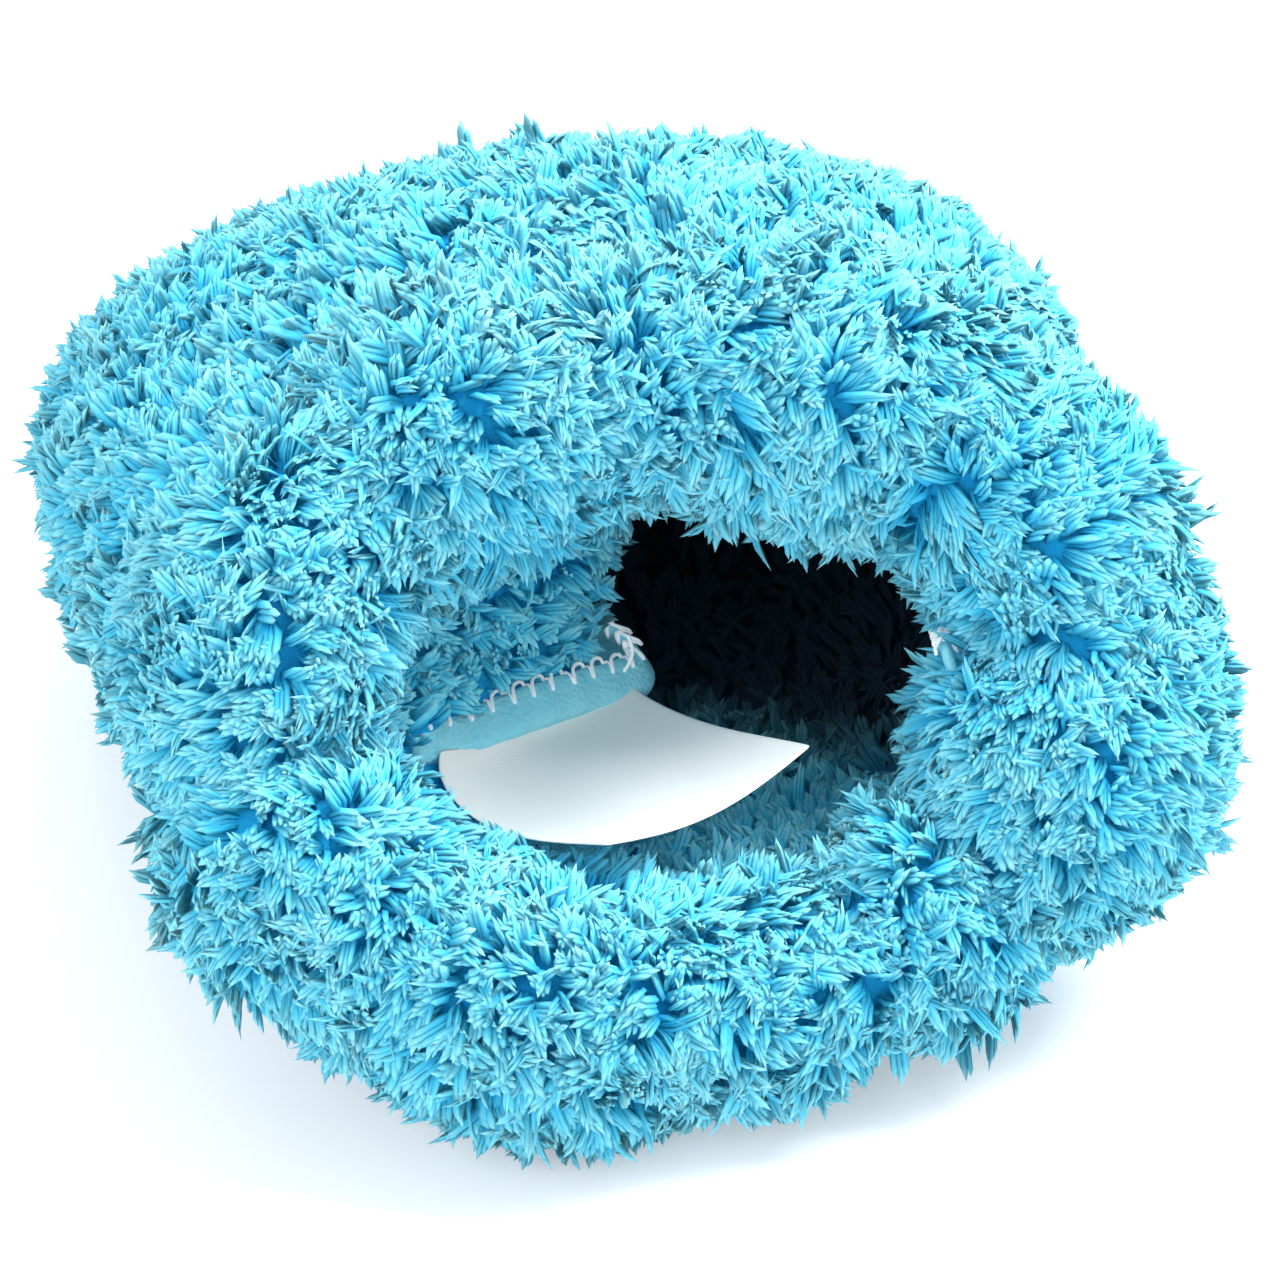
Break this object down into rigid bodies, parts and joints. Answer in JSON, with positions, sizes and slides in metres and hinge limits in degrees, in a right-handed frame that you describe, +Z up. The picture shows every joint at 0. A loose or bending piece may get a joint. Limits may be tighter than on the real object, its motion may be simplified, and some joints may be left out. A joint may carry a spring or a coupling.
{
  "type": "plush grooming mitt",
  "caption": "Lined plush pouch mitt with a thick elasticated fluffy cuff, a hand cavity with an overlocked side seam and a blank woven care label.",
  "frame": {"origin": "on the surface that the mitt lies on, under the middle of its box", "axes": "+Y from the mouth to the finger end, +Z up from the palm side, +X to the right seen from the mouth"},
  "size_m": [0.1754, 0.245, 0.1115],
  "materials": {
    "outer_plush": "long sky-blue pile",
    "lining_plush": "sky-blue pile",
    "cuff_plush": "long sky-blue pile",
    "elastic": "woven",
    "backing": "pale blue knitted backing",
    "thread": "white overlock thread",
    "label": "blank woven off-white"
  },
  "bodies": {
    "mitt": {"back_panel": "outer_plush", "palm_panel": "outer_plush", "back_lining": "lining_plush", "palm_lining": "lining_plush", "cuff_back": "cuff_plush", "cuff_palm": "cuff_plush", "wrist_elastic": "elastic", "left_seam_allowance": "backing", "right_seam_allowance": "backing", "end_seam_allowance": "backing", "left_overlock": "thread", "right_overlock": "thread", "end_overlock": "thread"},
    "label": {"care_label": "label"}
  },
  "joints": [
    {"name": "label_flip", "type": "hinge", "parent": "mitt", "child": "label", "pos_m": [-0.03269, -0.06514, 0.04174], "axis": [-0.9285, -0.364, 0.0736], "range_deg": [-5, 40]}
  ]
}
